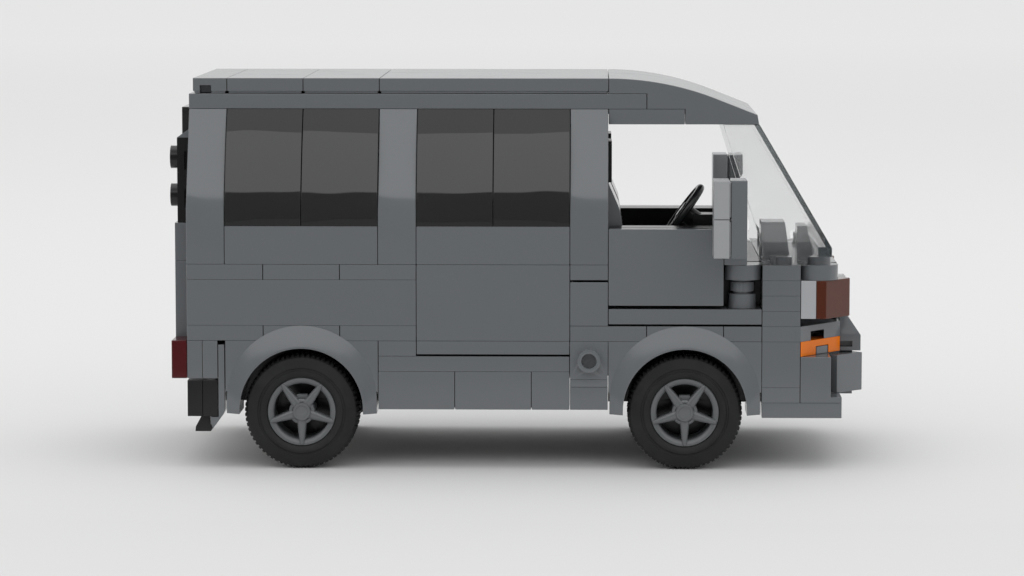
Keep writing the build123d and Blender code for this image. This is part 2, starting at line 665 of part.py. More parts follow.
def seats():
    """Two seats whose backs slope and bend."""
    points = [(seat_back_x, z_at(CAB_SILL)), (x_at(13), z_at(CAB_SILL)), (x_at(13), z_at(HIGH_BELT)),
              (x_at(11) + 4.5, z_at(HIGH_BELT)), (x_at(11) + 3.0, seat_top - 9.1),
              (x_at(11) + 2.3, seat_top - 5.1), (x_at(11) + 0.1, seat_top), (seat_back_x, seat_top)]
    return both(across(points, driver_y - 1.3 * STUD, driver_y + 1.1 * STUD))


def headrests():
    """Blocks on top of the seats."""
    low = seat_top + SEAT_GAP
    return both(block(seat_back_x + 0.5, x_at(11) + 0.75, driver_y - 7, driver_y + 3, low, low + 8.7))


# Roof.

def roof_rails():
    """Plates along the top of each side wall, and the header over the rear window."""
    z0, z1 = z_at(RAIL), z_at(ROOF) - SEAT_GAP
    rail = block(x_at(0), x_at(12) - SIDE_GAP, -roof_half, -roof_half + STUD, z0, z1)
    header = block(x_at(0), x_at(1), -roof_half + STUD + SIDE_GAP, roof_half - STUD - SIDE_GAP, z0, z1)
    return both(rail) + [header]


def roof_tiles():
    """Roof tiles across the van, with a narrow foot all round and a notch at the tail."""
    tiles = []
    z0, z1 = z_at(ROOF), z_at(ROOF_TOP)
    for col0, col1 in ((0.1, 1), (1, 3), (3, 5), (5, 11)):
        x0, x1 = x_at(col0) + SIDE_GAP, x_at(col1) - SIDE_GAP
        top = block(x0, x1, -roof_half, roof_half, z0 + TILE_FOOT_H, z1)
        foot = block(x0 + TILE_FOOT_IN, x1 - TILE_FOOT_IN, -roof_half + TILE_FOOT_IN,
                     roof_half - TILE_FOOT_IN, z0, z0 + TILE_FOOT_H)
        tiles.append(top + foot)
    notch = block(x_at(0.1) + 1.5, x_at(0.1) + 3.9, -roof_half, -roof_half + 2.5, z0, z0 + 1.7)
    tiles[0] -= both(notch)
    return tiles


def roof_front():
    """The curved front of the roof, cut to fit over the rail and the plate below it."""
    top, low = z_at(ROOF_TOP), z_at(CAB_ROOF)
    x0, x_end = x_at(11) + SIDE_GAP, x_at(15) - ROOF_SHORT
    centre = (x0, top - ROOF_CURVE_R)
    crown = CenterArc(centre, ROOF_CURVE_R, 90 - ROOF_CURVE_TURN, ROOF_CURVE_TURN)
    arc_end = crown @ 0
    rest = Polyline(arc_end, (x_end - SIDE_GAP, low + ROOF_NOSE_H), (x_end + 0.3, low),
                    (x_at(13) + SIDE_GAP, low), (x_at(13) + SIDE_GAP, z_at(RAIL)),
                    (x_at(12) + SIDE_GAP, z_at(RAIL)), (x_at(12) + SIDE_GAP, z_at(ROOF)),
                    (x0, z_at(ROOF)), (x0, top))
    outline = Plane.XZ * make_face([crown, rest])
    return [Pos(0, -roof_half, 0) * extrude(outline, 2 * roof_half, dir=(0, 1, 0))]


def roof_front_plates():
    """Plates under the rail over the cab window."""
    return both(block(x_at(11) + SIDE_GAP, x_at(13) - SIDE_GAP, -roof_half, -roof_half + STUD,
                      z_at(CAB_ROOF), z_at(RAIL) - SEAT_GAP))


# Tail.

tail_face = x_at(0) - REAR_SKIN


def tailgate_panels():
    """The beam and two plain panels across the tail, and the upper corners over the black frame."""
    half = inner_half - SIDE_GAP
    x1 = x_at(TAILGATE_STUDS)
    low = block(tail_face, x_at(0) - SIDE_GAP, -half, half, z_at(BELT) - STUD, z_at(BELT))
    low += block(tail_face, x1 - SEAT_GAP, -half, half, z_at(1), z_at(CAB_SILL))
    low += block(tail_face, x1, -half, half, z_at(CAB_SILL), z_at(PANEL_TOP) - SEAT_GAP)
    high = block(tail_face, x1, -half, half, z_at(PANEL_TOP), z_at(WINDOW_SILL) - SEAT_GAP)
    foot, back, inner = z_at(FRAME_TOP), x_at(0) - SIDE_GAP, -2 * STUD - SIDE_GAP
    corner = across([(tail_face + 0.6, foot), (back, foot), (back, foot + 1.8)], -half, inner)
    fill = block(back, x_at(0) + TILE_T, -half, inner, foot, lean_top)
    corner += fill - along(leaning_face(PILLAR_TOP_T + SIDE_GAP, PILLAR_BOW), x_at(0) - 1, x_at(1))
    return [low, high] + both(corner)


def rear_window():
    """The dark pane in the tailgate."""
    x0 = tail_face + 0.8
    return [block(x0, x0 + PANE_T, -2 * STUD, 2 * STUD, z_at(WINDOW_SILL), lean_top)]


def rear_stud_bricks():
    """Black bricks beside the rear window, with studs that look back and a hole in each side."""
    z0, z1 = z_at(WINDOW_SILL), z_at(FRAME_TOP) - SEAT_GAP
    y_out, y_in = -inner_half + SIDE_GAP, -2 * STUD - SIDE_GAP
    face = x_at(0) - STUD_FRAME_OUT
    column = block(face, x_at(0) - SIDE_GAP, y_out, y_in, z0, z1)
    column += block(x_at(0) - SIDE_GAP, x_at(0) + 1.5, y_out + 4, y_in, z0, z1)
    for z in (z0 + 5.6, z0 + 5.6 + STUD):
        column += cylinder_x(STUD_R, face - STUD_H, x_at(0) - 1, -2.5 * STUD, z)
        column -= block(x_at(0) - 1.1, x_at(0), y_out, y_out + 1.5, z - 2.4, z + 1.4)
    return both(column)


def tail_lamps():
    """Dark red tail lamps on the rear corners."""
    return both(block(x_at(0) - TILE_T, x_at(0) - SEAT_GAP, -half_width + SIDE_GAP, -inner_half,
                      z_at(BELT) - STUD, z_at(BELT) - SEAT_GAP))


def rear_corner_plates():
    """Plates on edge behind the rear wheel."""
    z0, z1 = z_at(BELT) - STUD, z_at(BELT) - SEAT_GAP
    return both(*[block(x0, x0 + TILE_T - SIDE_GAP, -half_width + SIDE_GAP / 2, -inner_half, z0, z1)
                  for x0 in (x_at(0) + SIDE_GAP, x_at(0) + TILE_T + SIDE_GAP)])


corner_foot_z = z_at(BELT) - STUD - 8.0


def rear_corner_feet():
    """Black lower ends of the rear corners."""
    y0, y1 = -half_width + SIDE_GAP / 2, -inner_half
    return both(*[block(x0, x0 + TILE_T - SIDE_GAP, y0, y1, corner_foot_z, z_at(BELT) - STUD - SHADOW_GAP)
                  for x0 in (x_at(0) + SIDE_GAP, x_at(0) + TILE_T + SIDE_GAP)])


def mud_flaps():
    """Thin flaps behind the rear wheels whose ends turn back to the hooks."""
    x, foot = x_at(0), corner_foot_z - SEAT_GAP
    points = [(x + 6.55, z_at(BELT) - 0.9), (x + 7.85, z_at(BELT) - 0.9), (x + 7.85, foot + 1.2),
              (x + 7.5, foot + 0.4), (x + 5.3, foot - 2.6), (x + 4.9, foot - 1.5), (x + 4.9, foot - 0.1),
              (x + 6.55, foot - 0.1)]
    return both(across(points, -half_width + SIDE_GAP, -inner_half))


def tail_hooks():
    """Black hooks under the rear corners."""
    x, top = x_at(0), corner_foot_z - SEAT_GAP
    points = [(x + 2.8, top), (x + 4.5, top), (x + 4.6, top - 1.8), (x + 5.1, top - 2.6),
              (x + 4.7, top - 3.4), (x + 1.4, top - 3.4), (x + 1.5, top - 2.4)]
    return both(across(points, -half_width + 2, -inner_half - 2))


# Mirrors.

mirror_x = x_at(14) + 1.0
mirror_z = z_at(PANEL_TOP) + 2.6
mirror_y = -half_width - MIRROR_OUT


def mirror_holder(forward):
    """A plate on edge that carries a mirror, on an arm from the front corner."""
    x0, y1 = mirror_x + forward, mirror_y + STUD
    arm_low, arm_top = z_at(PANEL_TOP) + 3.6, z_at(PANEL_TOP) + 6.8
    plate = block(x0, x0 + TILE_T, mirror_y, y1, mirror_z, mirror_z + 2 * STUD)
    arm = block(x0 + 0.4, x0 + TILE_T, y1 - 1, -half_width + 1, arm_low, arm_top)
    foot = block(x_at(14) + SIDE_GAP, x_at(15) - TILE_T, -half_width + SIDE_GAP, -inner_half - 1,
                 z_at(PANEL_TOP), arm_top)
    return plate + arm + foot


def mirror_pair(forward):
    """Two silver tiles on a mirror, each with a narrow foot against the plate."""
    x0 = mirror_x + forward
    tiles = []
    for number in (0, 1):
        z0, z1 = mirror_z + number * STUD + SIDE_GAP, mirror_z + (number + 1) * STUD - SIDE_GAP
        y0, y1 = mirror_y + SIDE_GAP, mirror_y + STUD - SIDE_GAP
        tile = block(x0 - TILE_T - MIRROR_JOINT, x0 - MIRROR_JOINT, y0, y1, z0, z1)
        tile += block(x0 - MIRROR_JOINT, x0 - SEAT_GAP, y0 + 0.4, y1 - 0.4, z0 + 0.4, z1 - 0.4)
        tiles.append(tile)
    return tiles


def mirror_holders():
    """Both mirrors' holders, the left-hand mirror set further forward."""
    return [mirror_holder(0), mirror(mirror_holder(LEFT_MIRROR_FORWARD), about=Plane.XZ)]


def mirror_tiles():
    """The silver tiles on both mirrors."""
    return mirror_pair(0) + [mirror(tile, about=Plane.XZ) for tile in mirror_pair(LEFT_MIRROR_FORWARD)]


amber, clear = headlamp_blocks()
nodes = {
    "base_plate": base_plate(),
    "rear_axle_holder": axle_holder(REAR_AXLE_STUD),
    "front_axle_holder": axle_holder(FRONT_AXLE_STUD),
    "side_rails": side_rails() + both(wheel_well(REAR_AXLE_STUD), wheel_well(FRONT_AXLE_STUD)),
    "floor_plate": floor_plate(),
    "wheel_arches": wheel_arches(),
    "sill_tiles": sill_tiles(),
    "sill_plates": sill_plates(),
    "fuel_brackets": fuel_brackets(),
    "fuel_tiles": fuel_tiles(),
    "belt_low_plates": belt_low_plates(),
    "belt_high_plates": belt_high_plates(),
    "quarter_bricks": quarter_bricks(),
    "under_window_tiles": under_window_tiles(),
    "sliding_door_panels": sliding_door_panels(),
    "pillars": pillars(),
    "window_panes": window_panes(),
    "front_door_panels": front_door_panels(),
    "front_door_sills": front_door_sills(),
    "door_linings": door_linings(),
    "door_posts": door_posts(),
    "front_corner_plates": front_corner_plates() + front_corner_bricks(),
    "nose_plate": nose_plate(),
    "nose_panel": nose_panel(),
    "nose_round_plates": nose_round_plates(),
    "cowl_plates": cowl_plates(),
    "headlamp_tiles": headlamp_tiles(),
    "headlamp_blocks": amber,
    "headlamps": clear,
    "indicators": indicators(),
    "nose_bricks": nose_bricks(),
    "bumper_corners": bumper_corners(),
    "bumper": bumper(),
    "valance": valance(),
    "windscreen": windscreen(),
    "dashboard": dashboard(),
    "steering_wheel": steering_wheel(),
    "seats": seats(),
    "headrests": headrests(),
    "roof_rails": roof_rails(),
    "roof_tiles": roof_tiles(),
    "roof_front": roof_front(),
    "roof_front_plates": roof_front_plates(),
    "tailgate_panels": tailgate_panels(),
    "rear_window": rear_window(),
    "rear_stud_bricks": rear_stud_bricks(),
    "tail_lamps": tail_lamps(),
    "rear_corner_plates": rear_corner_plates(),
    "rear_corner_feet": rear_corner_feet() + tail_hooks(),
    "mud_flaps": mud_flaps(),
    "mirror_holders": mirror_holders(),
    "mirror_tiles": mirror_tiles(),
}

wheel_y = half_width + LIP_OUT - TYRE_INSET - TYRE_W / 2
for end, axle in (("rear", REAR_AXLE_STUD), ("front", FRONT_AXLE_STUD)):
    for hand, side in (("right", -1), ("left", 1)):
        hub = Pos(x_at(axle), side * wheel_y, axle_z)
        turn = Rot(0, 0, 0) if side < 0 else Rot(0, 0, 180)
        nodes[f"{end}_{hand}_rim"] = [hub * turn * rim()]
        nodes[f"{end}_{hand}_tyre"] = [hub * tyre()]

os.makedirs("parts", exist_ok=True)
for name, solids in nodes.items():
    export_step(Compound(children=list(solids)), f"parts/{name}.step")
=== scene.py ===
"""Looks of the brick-built toy kei van, set up around its fixed frame.

Lengths are metres. +X is the nose, +Y the van's left side, +Z up.
"""

from __future__ import annotations

import json
import logging
import math
from dataclasses import dataclass, field
from enum import Enum
from typing import Sequence, Union

import bmesh
import bpy
from mathutils import Euler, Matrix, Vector

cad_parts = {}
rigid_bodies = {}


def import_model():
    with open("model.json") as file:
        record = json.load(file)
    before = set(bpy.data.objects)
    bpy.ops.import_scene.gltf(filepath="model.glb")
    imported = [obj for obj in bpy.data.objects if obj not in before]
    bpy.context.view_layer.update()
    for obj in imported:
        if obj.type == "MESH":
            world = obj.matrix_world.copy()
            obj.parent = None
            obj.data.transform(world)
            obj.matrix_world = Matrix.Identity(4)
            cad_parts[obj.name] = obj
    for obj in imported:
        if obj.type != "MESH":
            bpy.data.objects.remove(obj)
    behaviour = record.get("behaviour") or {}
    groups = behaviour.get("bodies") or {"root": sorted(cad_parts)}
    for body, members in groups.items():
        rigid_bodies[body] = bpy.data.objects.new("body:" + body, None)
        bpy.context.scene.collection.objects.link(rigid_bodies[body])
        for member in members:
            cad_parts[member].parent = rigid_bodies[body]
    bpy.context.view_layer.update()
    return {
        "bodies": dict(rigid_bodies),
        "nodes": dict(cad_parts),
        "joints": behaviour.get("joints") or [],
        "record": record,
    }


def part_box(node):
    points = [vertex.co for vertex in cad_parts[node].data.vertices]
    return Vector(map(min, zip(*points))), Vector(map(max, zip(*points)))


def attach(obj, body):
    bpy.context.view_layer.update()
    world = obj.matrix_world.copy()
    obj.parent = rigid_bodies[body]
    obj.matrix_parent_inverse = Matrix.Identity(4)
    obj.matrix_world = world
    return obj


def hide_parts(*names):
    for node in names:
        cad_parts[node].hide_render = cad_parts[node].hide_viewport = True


log = logging.getLogger("toy_kei_van")

MM = 0.001
Number = Union[float, "Value"]
Colour = tuple[float, float, float]
Point = tuple[float, float, float]
Outline = tuple[tuple[float, float], ...]
Table = tuple[tuple[float, float, float], ...]

# Alpha of a colour that hides what is behind it.
OPAQUE = 1.0

# Middle of a value that runs from 0 to 1.
MIDDLE = 0.5

# Places of the colour sockets on a Mix node.
MIX_FACTOR, MIX_FIRST, MIX_SECOND = 0, 6, 7
MIX_COLOUR = 2


# Shader maths.


@dataclass(frozen=True)
class Patches:
    """One kind of noise.

    Attributes:
        size: Width of a patch in metres.
        detail: Octaves of finer noise.
        stretch: How much finer the noise runs along each axis.
    """

    size: float
    detail: float = 2.0
    stretch: tuple[float, float, float] = (1, 1, 1)


@dataclass
class Value:
    """One output of a material's node tree that takes part in arithmetic.

    Attributes:
        graph: The tree that new nodes are added to.
        socket: The output that holds the value.
    """

    graph: "Graph"
    socket: bpy.types.NodeSocket

    def __add__(self, other: Number) -> "Value":
        """Adds another value or number."""
        return self.graph.math("ADD", self, other)

    def __radd__(self, other: Number) -> "Value":
        """Is added to a number."""
        return self.graph.math("ADD", other, self)

    def __sub__(self, other: Number) -> "Value":
        """Takes another value or number away."""
        return self.graph.math("SUBTRACT", self, other)

    def __rsub__(self, other: Number) -> "Value":
        """Is taken away from a number."""
        return self.graph.math("SUBTRACT", other, self)

    def __mul__(self, other: Number) -> "Value":
        """Multiplies by another value or number."""
        return self.graph.math("MULTIPLY", self, other)

    def __rmul__(self, other: Number) -> "Value":
        """Multiplies a number."""
        return self.graph.math("MULTIPLY", other, self)

    def __truediv__(self, other: Number) -> "Value":
        """Divides by another value or number."""
        return self.graph.math("DIVIDE", self, other)

    def __pow__(self, other: Number) -> "Value":
        """Raises to a power."""
        return self.graph.math("POWER", self, other)

    def ramp(self, low: float, high: float) -> "Value":
        """Eases from 0 at one level of the value to 1 at another.

        Args:
            low: Level where the result is 0.
            high: Level where the result is 1.

        Returns:
            The eased value.
        """
        settings = {"interpolation_type": "SMOOTHSTEP"}
        sockets = {"Value": self, "From Min": low, "From Max": high}
        return self.graph.node("ShaderNodeMapRange", settings, sockets, output="Result")

    def rise(self, low: float, high: float) -> "Value":
        """Goes evenly from 0 at one level of the value to 1 at another.

        Args:
            low: Level where the result is 0.
            high: Level where the result is 1.

        Returns:
            The share of the way, held between 0 and 1.
        """
        sockets = {"Value": self, "From Min": low, "From Max": high}
        return self.graph.node("ShaderNodeMapRange", {}, sockets, output="Result")


class Graph:
    """The node tree of one material, and the means to add to it."""

    def __init__(self, material: bpy.types.Material) -> None:
        """Clears the material's tree and adds its output.

        Args:
            material: The material whose nodes are built.
        """
        material.use_nodes = True
        self.tree = material.node_tree
        self.tree.nodes.clear()
        self.output = self.tree.nodes.new("ShaderNodeOutputMaterial")
        self.coordinates = self.tree.nodes.new("ShaderNodeTexCoord")

    def connect(self, socket: bpy.types.NodeSocket, value: object) -> None:
        """Feeds a socket from a value of the tree, or sets it to a constant.

        Args:
            socket: The input that is fed.
            value: A Value, a number or a colour.
        """
        if isinstance(value, Value):
            self.tree.links.new(value.socket, socket)
        elif isinstance(value, tuple) and len(value) == 3 and len(socket.default_value) == 4:
            socket.default_value = (*value, OPAQUE)
        else:
            socket.default_value = value

    def node(
        self,
        kind: str,
        settings: dict[str, object],
        sockets: dict[Union[str, int], object],
        output: Union[str, int] = 0,
    ) -> Value:
        """Adds a node.

        Args:
            kind: The node's type name.
            settings: Its own properties.
            sockets: Values for its inputs, by name or place.
            output: The output wanted, by name or place.

        Returns:
            The wanted output.
        """
        made = self.tree.nodes.new(kind)
        for name, setting in settings.items():
            setattr(made, name, setting)
        for name, value in sockets.items():
            self.connect(made.inputs[name], value)
        return Value(self, made.outputs[output])

    def math(self, operation: str, first: Number, second: Number = 0.0) -> Value:
        """Adds one step of arithmetic.

        Args:
            operation: Blender's name for the step.
            first: Its first term.
            second: Its second term.

        Returns:
            The result.
        """
        return self.node("ShaderNodeMath", {"operation": operation}, {0: first, 1: second})

    def place(self) -> Value:
        """Gives the place on the piece, in metres.

        Returns:
            The object coordinate.
        """
        return Value(self, self.coordinates.outputs["Object"])

    def along(self, axis: str) -> Value:
        """Gives how far along an axis a point lies.

        Args:
            axis: X, Y or Z.

        Returns:
            The distance in metres.
        """
        return self.node("ShaderNodeSeparateXYZ", {}, {0: self.place()}, output=axis)

    def noise(self, patches: "Patches") -> Value:
        """Adds noise whose patches have a given size.

        Args:
            patches: The kind of noise.

        Returns:
            A value around MIDDLE.
        """
        scale = tuple(part / patches.size for part in patches.stretch)
        scaled = self.node(
            "ShaderNodeVectorMath", {"operation": "MULTIPLY"}, {0: self.place(), 1: scale}
        )
        sockets = {"Vector": scaled, "Scale": 1.0, "Detail": patches.detail}
        return self.node("ShaderNodeTexNoise", {}, sockets, output="Fac")

    def mix(self, factor: Number, first: object, second: object) -> Value:
        """Blends two colours.

        Args:
            factor: 0 for the first, 1 for the second.
            first: A colour.
            second: A colour.

        Returns:
            The blended colour.
        """
        sockets = {MIX_FACTOR: factor, MIX_FIRST: first, MIX_SECOND: second}
        return self.node("ShaderNodeMix", {"data_type": "RGBA"}, sockets, output=MIX_COLOUR)

    def per_piece(self) -> Value:
        """Gives a value that differs from one moulded piece to the next.

        Returns:
            A value from 0 to 1.
        """
        return self.node("ShaderNodeNewGeometry", {}, {}, output="Random Per Island")

    def bump(self, height: Value, depth: float) -> Value:
        """Turns a height into a bent normal.

        Args:
            height: Height from 0 to 1.
            depth: Depth of the relief in metres.

        Returns:
            The normal.
        """
        sockets = {"Height": height, "Distance": depth, "Strength": 1.0}
        return self.node("ShaderNodeBump", {}, sockets)

    def absorb(self, colour: Colour, density: float) -> None:
        """Adds what a long way through the material takes from the light.

        Args:
            colour: The tint that is left.
            density: How strong it is, a metre.
        """
        sockets = {"Color": colour, "Density": density}
        medium = self.node("ShaderNodeVolumeAbsorption", {}, sockets)
        self.tree.links.new(medium.socket, self.output.inputs["Volume"])

    def finish(self, sockets: dict[str, object]) -> None:
        """Adds the surface shader and joins it to the output.

        Args:
            sockets: Values for the shader's inputs.
        """
        shader = self.node("ShaderNodeBsdfPrincipled", {}, sockets)
        self.tree.links.new(shader.socket, self.output.inputs["Surface"])


def tinted(colour: Colour, factor: float) -> Colour:
    """Lightens or darkens a colour.

    Args:
        colour: Linear colour.
        factor: What each channel is multiplied by.

    Returns:
        The new colour.
    """
    return tuple(channel * factor for channel in colour)


# Finishes.


@dataclass(frozen=True)
class Finish:
    """What every finish has.

    Attributes:
        name: Name of the material.
        colour: Linear base colour.
    """

    name: str
    colour: Colour

    def material(self) -> bpy.types.Material:
        """Builds the material.

        Returns:
            A material with its own nodes.
        """
        made = bpy.data.materials.new(self.name)
        self.build(Graph(made))
        return made

    def build(self, graph: Graph) -> None:
        """Adds the nodes of the finish.

        Args:
            graph: The material's tree.
        """
        raise NotImplementedError


@dataclass(frozen=True)
class MouldedPlastic(Finish):
    """Glossy moulded plastic with faint flow marks, hairline scuffs and finger dulling.

    Attributes:
        roughness: Roughness where nothing has touched it.
        spread: How far pieces differ in lightness from one another.
        ior: Refractive index.
        flow: Streaks left by the moulding.
        flow_spread: How far the streaks differ in lightness.
        touched: Patches dulled by fingers.
        touched_roughness: Roughness that such a patch adds.
        scuffs: Hairline scuffs.
        scuff_roughness: Roughness that a scuff adds.
        waves: Slow waves of the surface.
        wave_depth: Their depth in metres.
        shades: Factors of the colour that the lightness runs between.
    """

    roughness: float = 0.13
    spread: float = 0.035
    ior: float = 1.52
    flow: Patches = Patches(14 * MM, 3.0, (1, 1, 2.5))
    flow_spread: float = 0.03
    touched: Patches = Patches(9 * MM, 4.0)
    touched_roughness: float = 0.025
    scuffs: Patches = Patches(0.5 * MM, 2.0, (0.15, 1, 1))
    scuff_roughness: float = 0.04
    waves: Patches = Patches(6 * MM, 1.0)
    wave_depth: float = 0.012 * MM
    shades: tuple[float, float] = (0.5, 1.5)

    def build(self, graph: Graph) -> None:
        """Adds colour that varies a little by piece, dulled patches and fine relief.

        Args:
            graph: The material's tree.
        """
        flow = graph.noise(self.flow) - MIDDLE
        piece = graph.per_piece() - MIDDLE
        shade = piece * self.spread + flow * self.flow_spread + MIDDLE
        colour = graph.mix(shade, *(tinted(self.colour, factor) for factor in self.shades))
        touched = graph.noise(self.touched).ramp(low=0.45, high=0.75)
        scuffs = graph.noise(self.scuffs).ramp(low=0.68, high=0.8)
        dulled = touched * self.touched_roughness + scuffs * self.scuff_roughness
        rough = dulled + self.roughness
        normal = graph.bump(graph.noise(self.waves), self.wave_depth)
        graph.finish({"Base Color": colour, "Roughness": rough, "Normal": normal, "IOR": self.ior})


@dataclass(frozen=True)
class DarkPane(Finish):
    """Smoked plastic panes: almost black, very smooth, with faint ripples.

    Attributes:
        roughness: Roughness where the pane is clean.
        ior: Refractive index.
        cloud: Clouding of the smoky colour.
        shades: Factors of the colour that the clouding runs between.
        smear: Smears on the surface.
        smear_roughness: Roughness that a smear adds.
        ripple: Ripples of the surface.
        ripple_depth: Their depth in metres.
    """

    roughness: float = 0.015
    ior: float = 1.58
    cloud: Patches = Patches(20 * MM, 2.0)
    shades: tuple[float, float] = (0.8, 1.2)
    smear: Patches = Patches(7 * MM, 3.0, (1, 1, 3))
    smear_roughness: float = 0.01
    ripple: Patches = Patches(9 * MM, 0.0)
    ripple_depth: float = 0.06 * MM

    def build(self, graph: Graph) -> None:
        """Adds the smoky colour and the ripples.

        Args:
            graph: The material's tree.
        """
        cloud = graph.noise(self.cloud)
        colour = graph.mix(cloud, *(tinted(self.colour, factor) for factor in self.shades))
        smear = graph.noise(self.smear).ramp(low=0.5, high=0.8)
        rough = smear * self.smear_roughness + self.roughness
        normal = graph.bump(graph.noise(self.ripple), self.ripple_depth)
        graph.finish({"Base Color": colour, "Roughness": rough, "Normal": normal, "IOR": self.ior})


@dataclass(frozen=True)
class ClearPlastic(Finish):
    """See-through moulded plastic, clear or coloured.

    Attributes:
        roughness: Roughness where there is no haze.
        ior: Refractive index.
        see_through: How much light passes rather than scatters.
        density: How strongly a long way through the plastic takes light away, a metre.
        left_tint: The tint of the light that such a way leaves.
        cloud: Clouding of the tint.
        cloud_shade: Factor of the colour where the clouding is strongest.
        haze: Haze on the surface.
        haze_roughness: Roughness that the haze adds.
        flow: Flow lines of the moulding.
        flow_depth: Their depth in metres.
    """

    roughness: float = 0.03
    ior: float = 1.49
    see_through: float = 1.0
    density: float = 0.0
    left_tint: Colour = (0.76, 0.775, 0.78)
    cloud: Patches = Patches(5 * MM, 2.0)
    cloud_shade: float = 0.94
    haze: Patches = Patches(4 * MM, 3.0)
    haze_roughness: float = 0.04
    flow: Patches = Patches(3 * MM, 1.0, (0.5, 1, 2))
    flow_depth: float = 0.01 * MM

    def build(self, graph: Graph) -> None:
        """Adds the tint and the faint flow lines of the moulding.

        Args:
            graph: The material's tree.
        """
        cloud = graph.noise(self.cloud)
        colour = graph.mix(cloud, tinted(self.colour, self.cloud_shade), self.colour)
        haze = graph.noise(self.haze).ramp(low=0.5, high=0.8)
        rough = haze * self.haze_roughness + self.roughness
        normal = graph.bump(graph.noise(self.flow), self.flow_depth)
        graph.finish({
            "Base Color": colour,
            "Roughness": rough,
            "Normal": normal,
            "IOR": self.ior,
            "Transmission Weight": self.see_through,
        })
        if self.density:
            graph.absorb(self.left_tint, self.density)


@dataclass(frozen=True)
class Rubber(Finish):
    """Matt tyre rubber with a fine grain and a dusty bloom.

    Attributes:
        roughness: Roughness where there is no bloom.
        ior: Refractive index.
        bloom: Dusty patches.
        bloom_weight: How far a patch takes on the paler colour.
        bloom_shade: Factor of the colour that makes it paler.
        bloom_roughness: Roughness that a patch adds.
        grain: Grain of the surface.
        grain_depth: Its depth in metres.
    """

    roughness: float = 0.55
    ior: float = 1.38
    bloom: Patches = Patches(4 * MM, 3.0)
    bloom_weight: float = 0.6
    bloom_shade: float = 1.9
    bloom_roughness: float = 0.12
    grain: Patches = Patches(0.18 * MM, 3.0)
    grain_depth: float = 0.03 * MM

    def build(self, graph: Graph) -> None:
        """Adds the bloom, the grain and the dulled patches.

        Args:
            graph: The material's tree.
        """
        bloom = graph.noise(self.bloom).ramp(low=0.35, high=0.75)
        paler = tinted(self.colour, self.bloom_shade)
        colour = graph.mix(bloom * self.bloom_weight, self.colour, paler)
        grain = graph.noise(self.grain)
        rough = bloom * self.bloom_roughness + self.roughness
        normal = graph.bump(grain, self.grain_depth)
        graph.finish({"Base Color": colour, "Roughness": rough, "Normal": normal, "IOR": self.ior})


class Look(Enum):
    """The finishes of the toy."""

    GREY = MouldedPlastic("dark grey plastic", (0.129, 0.138, 0.147))
    BLACK = MouldedPlastic("black plastic", (0.010, 0.010, 0.011), roughness=0.2, ior=1.4)
    SILVER = MouldedPlastic("flat silver plastic", (0.31, 0.32, 0.33), roughness=0.34)
    LIGHT_GREY = MouldedPlastic("light grey plastic", (0.375, 0.385, 0.40))
    WHEEL_GREY = MouldedPlastic(
        "wheel grey plastic", (0.115, 0.122, 0.127), roughness=0.28
    )
    PANE = DarkPane("smoked pane plastic", (0.016, 0.016, 0.016))
    CLEAR = ClearPlastic("clear plastic", (0.975, 0.975, 0.975), density=180.0)
    AMBER = ClearPlastic(
        "amber plastic", (0.18, 0.032, 0.006), roughness=0.1, see_through=0.6
    )
    ORANGE = ClearPlastic(
        "orange plastic", (0.90, 0.21, 0.009), roughness=0.14, ior=1.3, see_through=0.12
    )
    DARK_RED = ClearPlastic(
        "dark red plastic", (0.135, 0.012, 0.016), roughness=0.1, ior=1.36, see_through=0.5
    )
    RUBBER = Rubber("tyre rubber", (0.0115, 0.0115, 0.0115))


SLOT_LOOKS: dict[str, Look] = {
    "body_grey": Look.GREY,
    "black": Look.BLACK,
    "dark_pane": Look.PANE,
    "clear": Look.CLEAR,
    "clear_lamp": Look.CLEAR,
    "light_grey": Look.LIGHT_GREY,
    "silver": Look.SILVER,
    "amber": Look.AMBER,
    "orange": Look.ORANGE,
    "dark_red": Look.DARK_RED,
    "tyre_rubber": Look.RUBBER,
    "rim_grey": Look.WHEEL_GREY,
}


class Paintbox:
    """Hands out each finish's material, built once."""

    def __init__(self) -> None:
        """Starts with no material built."""
        self.made: dict[Look, bpy.types.Material] = {}

    def material(self, look: Look) -> bpy.types.Material:
        """Gives the material of a finish.

        Args:
            look: The finish.

        Returns:
            Its material.
        """
        if look not in self.made:
            self.made[look] = look.value.material()
        return self.made[look]


# Pieces.


def placed(name: str, data: bpy.types.ID) -> bpy.types.Object:
    """Makes an object and puts it into the scene.

    Args:
        name: Its name.
        data: Its mesh, lamp or camera.

    Returns:
        The object.
    """
    made = bpy.data.objects.new(name, data)
    bpy.context.scene.collection.objects.link(made)
    return made


